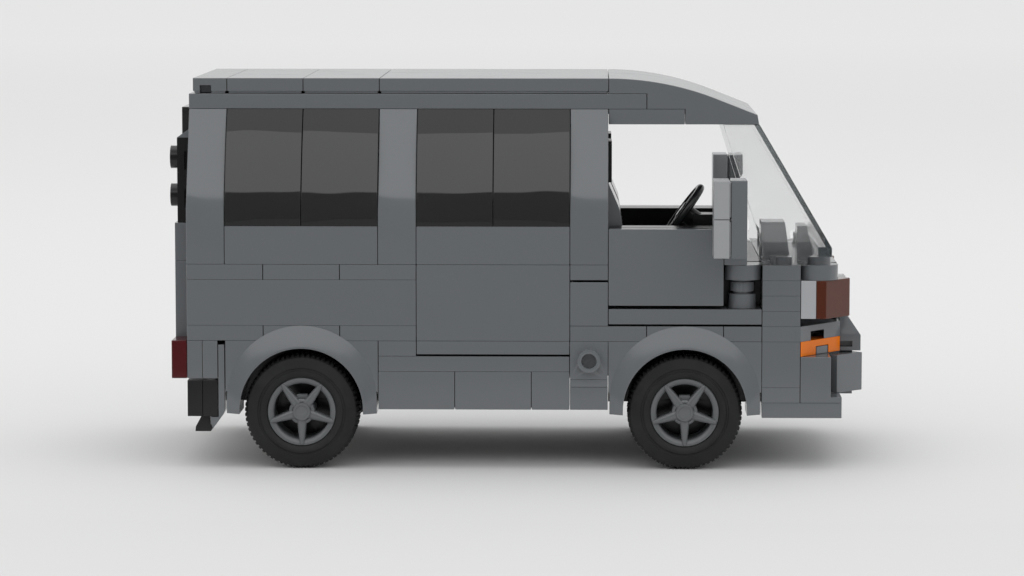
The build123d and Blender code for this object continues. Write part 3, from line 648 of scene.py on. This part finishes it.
@dataclass
class MouldedPieces:
    """The frame's own pieces, dressed and with the small round of moulded edges.

    Attributes:
        paints: The finishes.
        edge: Width of the rounded edge in metres.
        edge_steps: Rows of faces across it.
        corner: Turn in degrees from which an edge is rounded.
        weld: Distance in metres at which points count as one.
        flat_weight: How strongly large faces set the shading, in percent.
    """

    frame: dict
    paints: Paintbox
    edge: float = 0.14 * MM
    edge_steps: int = 2
    corner: float = 32
    weld: float = 0.002 * MM
    flat_weight: int = 100

    def dress(self) -> None:
        """Gives every piece its finish and its rounded edges."""
        parts = self.frame["record"]["subparts"]
        slots = {part["node"]: part["material_slot"] for part in parts}
        for name, piece in self.frame["nodes"].items():
            look = SLOT_LOOKS[slots[name]]
            piece.data.materials.clear()
            piece.data.materials.append(self.paints.material(look))
            for face in piece.data.polygons:
                face.material_index = 0
            self.round_edges(piece)

    def round_edges(self, piece: bpy.types.Object) -> None:
        """Adds the modifiers that round a piece's edges.

        Args:
            piece: The piece.
        """
        weld = piece.modifiers.new("weld", "WELD")
        weld.merge_threshold = self.weld
        bevel = piece.modifiers.new("rounded edges", "BEVEL")
        bevel.width = self.edge
        bevel.segments = self.edge_steps
        bevel.limit_method = "ANGLE"
        bevel.angle_limit = math.radians(self.corner)
        bevel.use_clamp_overlap = True
        bevel.harden_normals = False
        for face in piece.data.polygons:
            face.use_smooth = True
        normals = piece.modifiers.new("face normals", "WEIGHTED_NORMAL")
        normals.keep_sharp = False
        normals.weight = self.flat_weight


@dataclass
class Shells:
    """Closed shells that are gathered into one mesh.

    Attributes:
        points: Their points in metres.
        faces: Their faces, as numbers of points.
        same_point: Distance in metres at which points count as one.
        no_length: Length in metres at which an edge counts as none.
    """

    points: list[Point] = field(default_factory=list)
    faces: list[tuple[int, ...]] = field(default_factory=list)
    same_point: float = 0.001 * MM
    no_length: float = 0.0005 * MM

    def loft(self, rings: Sequence[Sequence[Point]], closed: bool = False) -> None:
        """Adds a shell that runs through rings of points, one after the other.

        Args:
            rings: The rings, with as many points each.
            closed: Whether the last ring meets the first, so that there are no ends.
        """
        first, count, number = len(self.points), len(rings[0]), len(rings)
        for ring in rings:
            self.points += ring
        for here in range(number if closed else number - 1):
            start, after = first + here * count, first + (here + 1) % number * count
            for place in range(count):
                beside = (place + 1) % count
                face = (start + place, start + beside, after + beside, after + place)
                self.faces.append(face)
        if not closed:
            last = first + (number - 1) * count
            self.faces += [tuple(range(end, end + count)) for end in (first, last)]

    def piece(
        self, name: str, crease: float, look: Look, paints: Paintbox
    ) -> bpy.types.Object:
        """Makes the piece, with its faces turned outwards.

        Args:
            name: Its name.
            crease: Turn in degrees past which an edge stays sharp.
            look: Its finish.
            paints: The finishes.

        Returns:
            The new object.
        """
        mesh = bpy.data.meshes.new(name)
        mesh.from_pydata(self.points, [], self.faces)
        shell = bmesh.new()
        shell.from_mesh(mesh)
        bmesh.ops.remove_doubles(shell, verts=shell.verts, dist=self.same_point)
        bmesh.ops.dissolve_degenerate(shell, edges=shell.edges, dist=self.no_length)
        bmesh.ops.recalc_face_normals(shell, faces=shell.faces)
        shell.to_mesh(mesh)
        shell.free()
        mesh.shade_smooth()
        mesh.set_sharp_from_angle(angle=math.radians(crease))
        mesh.materials.append(paints.material(look))
        return placed(name, mesh)


@dataclass
class WheelPart:
    """What a tyre and a rim share: the wheel's name, its middle and its outer side.

    Attributes:
        wheel: Name of the wheel, such as rear_right.
        paints: The finishes.
    """

    wheel: str
    paints: Paintbox

    def __post_init__(self) -> None:
        """Finds the wheel's middle and how far it reaches."""
        low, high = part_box(f"{self.wheel}_tyre")
        self.middle = (low + high) / 2
        self.reach = (high - low) / 2

    def point(self, across: float, up: float, out: float) -> Point:
        """Places a point of the wheel.

        Args:
            across: Distance from the axle along the van in metres.
            up: Height over the axle in metres.
            out: Distance from the wheel's middle towards its outer side in metres.

        Returns:
            The point in the van's frame.
        """
        middle = self.middle
        side = math.copysign(out, out * middle[1])
        return (middle[0] + across, middle[1] + side, middle[2] + up)

    def turned(self, profile: Outline, steps: int) -> list[list[Point]]:
        """Turns a closed outline round the axle.

        Args:
            profile: Radius and distance outwards of each point, in millimetres.
            steps: Number of rings round the axle.

        Returns:
            The rings.
        """
        rings = []
        for step in range(steps):
            turn = 2 * math.pi * step / steps
            across, up = math.sin(turn), math.cos(turn)
            rings.append([
                self.point(radius * MM * across, radius * MM * up, out * MM)
                for radius, out in profile
            ])
        return rings

    def fit(self, piece: bpy.types.Object, node: str, slot: str) -> bpy.types.Object:
        """Puts a piece in the place of the wheel's plain one.

        Args:
            piece: The piece.
            node: The plain one's name after the wheel's.
            slot: The slot of its finish; not used.

        Returns:
            The piece.
        """
        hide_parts(f"{self.wheel}_{node}")
        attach(piece, f"{self.wheel}_wheel")
        return piece


@dataclass
class TreadedTyre(WheelPart):
    """One tyre with its beads and two staggered rows of tread blocks.

    Attributes:
        blocks: Tread blocks in a row.
        bore: Radius of the tyre's seat on the rim, in metres.
        groove: Depth of the grooves between the blocks, in metres.
        gap: Half the gap between the two rows at the tread's surface, in metres.
        gap_foot: The same at the bottom of the gap.
        crease: Turn in degrees past which an edge stays sharp.
        wall: The side wall with its beads: rise over the bore and inset from the outer side,
            in millimetres.
        shoulder: Fall from the outer radius and inset in millimetres, and the share of the
            groove's depth that is cut there.
        stations: The share of the way along a block, and whether the outer and the inner
            row are cut there.
    """

    blocks: int = 68
    bore: float = 7.15 * MM
    groove: float = 0.27 * MM
    gap: float = 0.35 * MM
    gap_foot: float = 0.22 * MM
    crease: float = 28
    wall: Outline = (
        (0.0, 0.9), (0.15, 0.45), (0.5, 0.22), (1.0, 0.0), (1.45, 0.0),
        (1.62, 0.22), (1.95, 0.24), (2.1, 0.1), (3.0, 0.3), (3.75, 0.5),
    )
    shoulder: Table = (
        (0.7, 0.62, 0.0), (0.42, 0.9, 0.3), (0.18, 1.2, 0.9), (0.0, 1.9, 1.0),
    )
    stations: Table = (
        (0.0, 0, 0), (0.07, 0, 1), (0.43, 0, 1), (0.5, 0, 0), (0.57, 1, 0), (0.93, 1, 0),
    )

    def section(self, outer: float, half: float) -> list[tuple[float, float, float]]:
        """Gives half of the tyre's section, from the seat on the rim to the middle of the tread.

        Args:
            outer: Outer radius in metres.
            half: Half the tyre's width in metres.

        Returns:
            Radius, distance from the middle and share of the groove's depth, point by point.
        """
        points = [
            (self.bore + rise * MM, half - inset * MM, 0.0) for rise, inset in self.wall
        ]
        points += [
            (outer - fall * MM, half - inset * MM, depth)
            for fall, inset, depth in self.shoulder
        ]
        return points + [(outer, self.gap, 1.0), (outer - self.groove, self.gap_foot, 0.0)]

    def build(self) -> bpy.types.Object:
        """Turns the section round the axle and cuts the grooves into it.

        Returns:
            The tyre, in place of the plain one.
        """
        section = self.section(self.reach[2], self.reach[1])
        ring = [(radius, out, depth, 0) for radius, out, depth in section]
        ring += [(radius, -out, depth, 1) for radius, out, depth in reversed(section)]
        rings = []
        for block in range(self.blocks):
            for share, *cut in self.stations:
                turn = 2 * math.pi * (block + share) / self.blocks
                across, up = math.sin(turn), math.cos(turn)
                points = []
                for radius, out, depth, row in ring:
                    reach = radius - depth * cut[row] * self.groove
                    points.append(self.point(reach * across, reach * up, out))
                rings.append(points)
        shells = Shells()
        shells.loft(rings, closed=True)
        name = f"{self.wheel}_treaded_tyre"
        tyre = shells.piece(name, self.crease, Look.RUBBER, self.paints)
        return self.fit(tyre, "tyre", "tyre_rubber")


@dataclass
class SpokedRim(WheelPart):
    """One rim: a barrel with a lip that slopes in, a capped hub and five half-round spokes.

    Attributes:
        spokes: Number of spokes.
        root: Half a spoke's width at the hub, in millimetres.
        tip: Half its width at the lip, in millimetres.
        face: Distance of its crest from the wheel's middle, in millimetres.
        back: The same of its back.
        lip: Distance from the axle past which the spoke dives into the lip, in millimetres.
        steps: Number of rings round the axle.
        crease: Turn in degrees past which an edge stays sharp.
        barrel: Outline turned round the axle: radius and distance outwards in millimetres.
        hub: The same of the hub with its cap.
        stations: Along a spoke: distance from the axle in millimetres, share of the way from
            the root's width to the tip's or, past the lip, of the tip's width, and fall of
            the crest in millimetres.
        crest: Across half a spoke: share of its half width, and fall from the crest in
            millimetres.
        key: Outline of the square key behind the hub's top, along the van and up, in
            millimetres.
        key_ends: The key's two ends, outwards in millimetres.
    """

    spokes: int = 5
    root: float = 1.0
    tip: float = 0.53
    face: float = 4.42
    back: float = 2.0
    lip: float = 6.7
    steps: int = 72
    crease: float = 34
    barrel: Outline = (
        (5.9, -4.1), (7.15, -4.1), (7.15, 3.95), (7.05, 4.08),
        (6.85, 4.1), (6.3, 3.86), (5.98, 3.62), (5.9, 3.5),
    )
    hub: Outline = (
        (1.7, -3.1), (2.7, -3.1), (2.7, 3.7), (2.62, 3.95), (2.4, 4.1), (2.05, 4.14),
        (1.96, 4.02), (1.9, 4.06), (1.88, 4.56), (1.78, 4.72), (1.58, 4.8), (1.36, 4.78),
        (1.28, 4.68), (0.7, 4.74), (0.0, 4.76), (0.0, 2.9), (1.7, 2.9),
    )
    stations: Table = (
        (1.4, 0.0, 0.0), (2.6, 0.12, 0.0), (4.6, 0.55, 0.05),
        (6.55, 1.0, 0.1), (6.9, 0.93, 0.14), (7.06, 0.72, 0.24),
    )
    crest: Outline = ((-1, 0.62), (-0.92, 0.36), (-0.7, 0.15), (-0.36, 0.03), (0, 0))
    key: Outline = (
        (-1.15, 1.9), (1.15, 1.9), (1.15, 3.4), (1.05, 3.5), (-1.05, 3.5), (-1.15, 3.4),
    )
    key_ends: tuple[float, float] = (1.1, 2.9)

    def half_width(self, reach: float, share: float) -> float:
        """Gives half a spoke's width.

        Args:
            reach: Distance from the axle in millimetres.
            share: Share of the way to the tip's width or, past the lip, of that width.

        Returns:
            Half the width in millimetres.
        """
        if reach < self.lip:
            return self.root + (self.tip - self.root) * share
        return self.tip * share

    def spoke(self, number: int) -> list[list[Point]]:
        """Gives the sections of one spoke, from the hub out.

        Args:
            number: The spoke's place, with the first straight down.

        Returns:
            The sections.
        """
        turn = 2 * math.pi * number / self.spokes
        sine, cosine = math.sin(turn), math.cos(turn)
        arc = list(self.crest)
        arc += [(-side, fall) for side, fall in reversed(self.crest[:-1])]
        sections = []
        for reach, share, drop in self.stations:
            wide = self.half_width(reach, share)
            outline = [(side * wide, self.face - drop - fall) for side, fall in arc]
            outline += [(wide, self.back), (-wide, self.back)]
            section = []
            for side, out in outline:
                across = (side * cosine - reach * sine) * MM
                up = (-side * sine - reach * cosine) * MM
                section.append(self.point(across, up, out * MM))
            sections.append(section)
        return sections

    def key_sections(self) -> list[list[Point]]:
        """Gives the outlines at the key's two ends."""
        return [
            [self.point(across * MM, up * MM, out * MM) for across, up in self.key]
            for out in self.key_ends
        ]

    def build(self) -> bpy.types.Object:
        """Builds barrel, hub, spokes and key.

        Returns:
            The rim, in place of the plain one.
        """
        shells = Shells()
        for profile in (self.barrel, self.hub):
            shells.loft(self.turned(profile, self.steps), closed=True)
        for number in range(self.spokes):
            shells.loft(self.spoke(number))
        shells.loft(self.key_sections())
        name = f"{self.wheel}_spoked_rim"
        rim = shells.piece(name, self.crease, Look.WHEEL_GREY, self.paints)
        return self.fit(rim, "rim", "rim_grey")


@dataclass
class IndicatorPegs:
    """Grey pegs that stand in the notches of the orange indicators.

    Attributes:
        paints: The finishes.
        start: Where a peg starts, in metres from the back of the indicator.
        width: Width of a peg along the van in metres.
        height: Height of a peg in metres.
        slope: How far the indicator's face turns in for each metre forward.
        inset: How far the peg's face lies behind it in metres.
        depth: How far the peg reaches in across the van in metres.
        foot: How far the peg reaches below the indicator in metres.
        edge: Width of its rounded edges in metres.
        edge_steps: Rows of faces across them.
        crease: Turn in degrees past which an edge stays sharp.
    """

    paints: Paintbox
    start: float = 3.54 * MM
    width: float = 2.6 * MM
    height: float = 1.62 * MM
    slope: float = 11.5 / 9.0
    inset: float = 0.16 * MM
    depth: float = 6.0 * MM
    foot: float = 0.05 * MM
    edge: float = 0.12 * MM
    edge_steps: int = 2
    crease: float = 30

    def build(self) -> bpy.types.Object:
        """Builds the peg of each side as one mesh.

        Returns:
            The pegs.
        """
        low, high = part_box("indicators")
        ends = (self.start, self.start + self.width)
        plan = [(low[0] + x, high[1] - (x + self.inset) * self.slope) for x in ends]
        plan += [(x, y - self.depth) for x, y in reversed(plan)]
        levels = (low[2] - self.foot, low[2] + self.height)
        shells = Shells()
        for side in (-1, 1):
            shells.loft([[(x, side * y, z) for x, y in plan] for z in levels])
        pegs = shells.piece("indicator_pegs", self.crease, Look.GREY, self.paints)
        bevel = pegs.modifiers.new("rounded edges", "BEVEL")
        bevel.width = self.edge
        bevel.segments = self.edge_steps
        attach(pegs, "van")
        return pegs


# Studio.


@dataclass
class Floor:
    """The pale floor, with painted shade: darker at the van and in front of it, paler behind.

    Attributes:
        size: Side of the floor in metres.
        shift: How far its middle lies behind the van in metres.
        near: Linear colour at the van and in front of it, darkened as painted shade.
        far: Linear colour well behind it.
        start: Distance behind the van's middle at which it starts to get paler, in metres.
        end: Distance at which it is palest, in metres.
        bend: Power that makes it paler sooner.
        cloud: Clouding of the colour.
        cloud_spread: How far the clouding shifts the blend of the two colours.
        roughness: Roughness.
        gloss: Strength of its gloss.
    """

    size: float = 16.0
    shift: float = 3.0
    near: Colour = (0.665, 0.665, 0.665)
    far: Colour = (0.87, 0.87, 0.87)
    start: float = -0.1
    end: float = 2.6
    bend: float = 0.6
    cloud: Patches = Patches(400 * MM, 2.0)
    cloud_spread: float = 0.04
    roughness: float = 0.9
    gloss: float = 0.1

    def build(self) -> bpy.types.Object:
        """Lays the floor.

        Returns:
            The floor.
        """
        mesh = bpy.data.meshes.new("studio_floor")
        half = self.size / 2
        corners = ((-half, -half), (half, -half), (half, half), (-half, half))
        mesh.from_pydata([(x, y + self.shift, 0) for x, y in corners], [], [(0, 1, 2, 3)])
        floor = placed("studio_floor", mesh)
        material = bpy.data.materials.new("studio floor")
        graph = Graph(material)
        cloud = (graph.noise(self.cloud) - MIDDLE) * self.cloud_spread
        # Painted shade: the colour runs from the darker near colour at the van to the paler far
        # colour behind it.
        behind = graph.along("Y").rise(self.start, self.end) ** self.bend
        colour = graph.mix(behind + cloud, self.near, self.far)
        graph.finish({
            "Base Color": colour,
            "Roughness": self.roughness,
            "Specular IOR Level": self.gloss,
        })
        mesh.materials.append(material)
        return floor


@dataclass
class ReflectedCard:
    """Grey card that only glossy sides show, and the camera doesn't.

    It lies before the van and stands up at its far end.

    Attributes:
        near: Where its lying part starts, across the van in metres.
        far: Where that ends and the standing part starts, in metres.
        half_width: Half its width along the van in metres.
        low: Height of its lying part in metres.
        top: Height that its standing part reaches in metres.
        shades: Linear colours that its clouding runs between.
        cloud: Clouding of the colour.
        roughness: Roughness.
        hidden_from: Kinds of ray that pass through it.
    """

    near: float = -0.16
    far: float = -1.3
    half_width: float = 3.0
    low: float = 0.001
    top: float = 0.66
    shades: tuple[Colour, Colour] = ((0.20, 0.20, 0.20), (0.24, 0.24, 0.24))
    cloud: Patches = Patches(300 * MM, 2.0)
    roughness: float = 0.9
    hidden_from: tuple[str, ...] = (
        "camera", "diffuse", "transmission", "volume_scatter", "shadow",
    )

    def build(self) -> bpy.types.Object:
        """Lays the card and stands its far end up.

        Returns:
            The card.
        """
        mesh = bpy.data.meshes.new("studio_card")
        edges = ((self.near, self.low), (self.far, self.low), (self.far, self.top))
        points = [(x, y, z) for y, z in edges for x in (-self.half_width, self.half_width)]
        mesh.from_pydata(points, [], [(0, 2, 3, 1), (2, 4, 5, 3)])
        card = placed("studio_card", mesh)
        material = bpy.data.materials.new("studio card")
        graph = Graph(material)
        colour = graph.mix(graph.noise(self.cloud), *self.shades)
        graph.finish({"Base Color": colour, "Roughness": self.roughness})
        mesh.materials.append(material)
        for ray in self.hidden_from:
            setattr(card, f"visible_{ray}", False)
        return card


@dataclass
class SoftBox:
    """A rectangular lamp that looks at the van.

    Attributes:
        name: Its name.
        place: Its place in metres.
        size: Its width and height in metres.
        power: Its power in watts.
        aim: The point that it looks at, in metres.
    """

    name: str
    place: Point
    size: tuple[float, float]
    power: float
    aim: Point = (0, 0, 0.04)

    def build(self) -> bpy.types.Object:
        """Hangs the lamp.

        Returns:
            The lamp.
        """
        lamp = bpy.data.lights.new(self.name, "AREA")
        lamp.shape = "RECTANGLE"
        lamp.size, lamp.size_y = self.size
        lamp.energy = self.power
        box = placed(self.name, lamp)
        box.location = self.place
        way = Vector(self.aim) - Vector(self.place)
        box.rotation_euler = way.to_track_quat("-Z", "Y").to_euler()
        return box


@dataclass
class Viewpoint:
    """The camera off the van's right side, looking a little down.

    Attributes:
        lens: Focal length in millimetres.
        sensor: Width of the sensor in millimetres.
        clip: Nearest and farthest distance that it sees, in metres.
        place: Its place in metres.
        down: How far it looks down, in degrees.
        turn: How far it turns to the van's tail, in degrees.
    """

    lens: float = 125.6
    sensor: float = 36.0
    clip: tuple[float, float] = (0.05, 50)
    place: Point = (0.0160, -0.7715, 0.1139)
    down: float = 5.855
    turn: float = 1.30

    def build(self) -> bpy.types.Object:
        """Stands the camera up.

        Returns:
            The camera.
        """
        lens = bpy.data.cameras.new("camera")
        lens.lens = self.lens
        lens.sensor_width = self.sensor
        lens.clip_start, lens.clip_end = self.clip
        camera = placed("camera", lens)
        camera.location = self.place
        camera.rotation_euler = Euler(
            (math.radians(90 - self.down), 0, math.radians(self.turn))
        )
        bpy.context.scene.camera = camera
        return camera


@dataclass
class Studio:
    """Pale floor, soft lights, white surroundings and the camera.

    Attributes:
        horizon: Level of the surroundings at the horizon.
        zenith: What is added to it straight above.
    """

    horizon: float = 0.70
    zenith: float = 0.31

    def build(self) -> None:
        """Sets up floor, world, lights, card, camera and view transform."""
        Floor().build()
        self.world()
        SoftBox("top_box", place=(0.0, 0.1, 1.1), size=(1.2, 0.9), power=3.0).build()
        SoftBox("front_box", place=(0.0, -0.93, 0.74), size=(2.4, 0.46), power=2.4).build()
        ReflectedCard().build()
        Viewpoint().build()
        bpy.context.scene.view_settings.view_transform = "Standard"

    def world(self) -> None:
        """Sets the white surroundings, a little brighter above than at the horizon."""
        world = bpy.data.worlds.new("studio")
        bpy.context.scene.world = world
        world.use_nodes = True
        nodes, links = world.node_tree.nodes, world.node_tree.links
        background = nodes["Background"]
        background.inputs["Color"].default_value = (1, 1, 1, OPAQUE)
        direction = nodes.new("ShaderNodeTexCoord")
        axes = nodes.new("ShaderNodeSeparateXYZ")
        level = nodes.new("ShaderNodeMapRange")
        level.inputs["To Min"].default_value = self.horizon
        level.inputs["To Max"].default_value = self.horizon + self.zenith
        links.new(direction.outputs["Generated"], axes.inputs[0])
        links.new(axes.outputs["Z"], level.inputs["Value"])
        links.new(level.outputs["Result"], background.inputs["Strength"])


# Sizes and order of work.


WHEELS = ("rear_right", "rear_left", "front_right", "front_left")


def main() -> None:
    """Builds the looks in order."""
    logging.basicConfig(level=logging.INFO, format="%(message)s")
    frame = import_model()
    paints = Paintbox()
    log.info("dressing %d pieces", len(frame["nodes"]))
    MouldedPieces(frame, paints).dress()
    for wheel in WHEELS:
        for part in (TreadedTyre(wheel, paints).build(), SpokedRim(wheel, paints).build()):
            log.info("%s: %d faces", part.name, len(part.data.polygons))
    log.info("%s", IndicatorPegs(paints).build().name)
    log.info("setting up the studio")
    Studio().build()


if __name__ == "__main__":
    main()
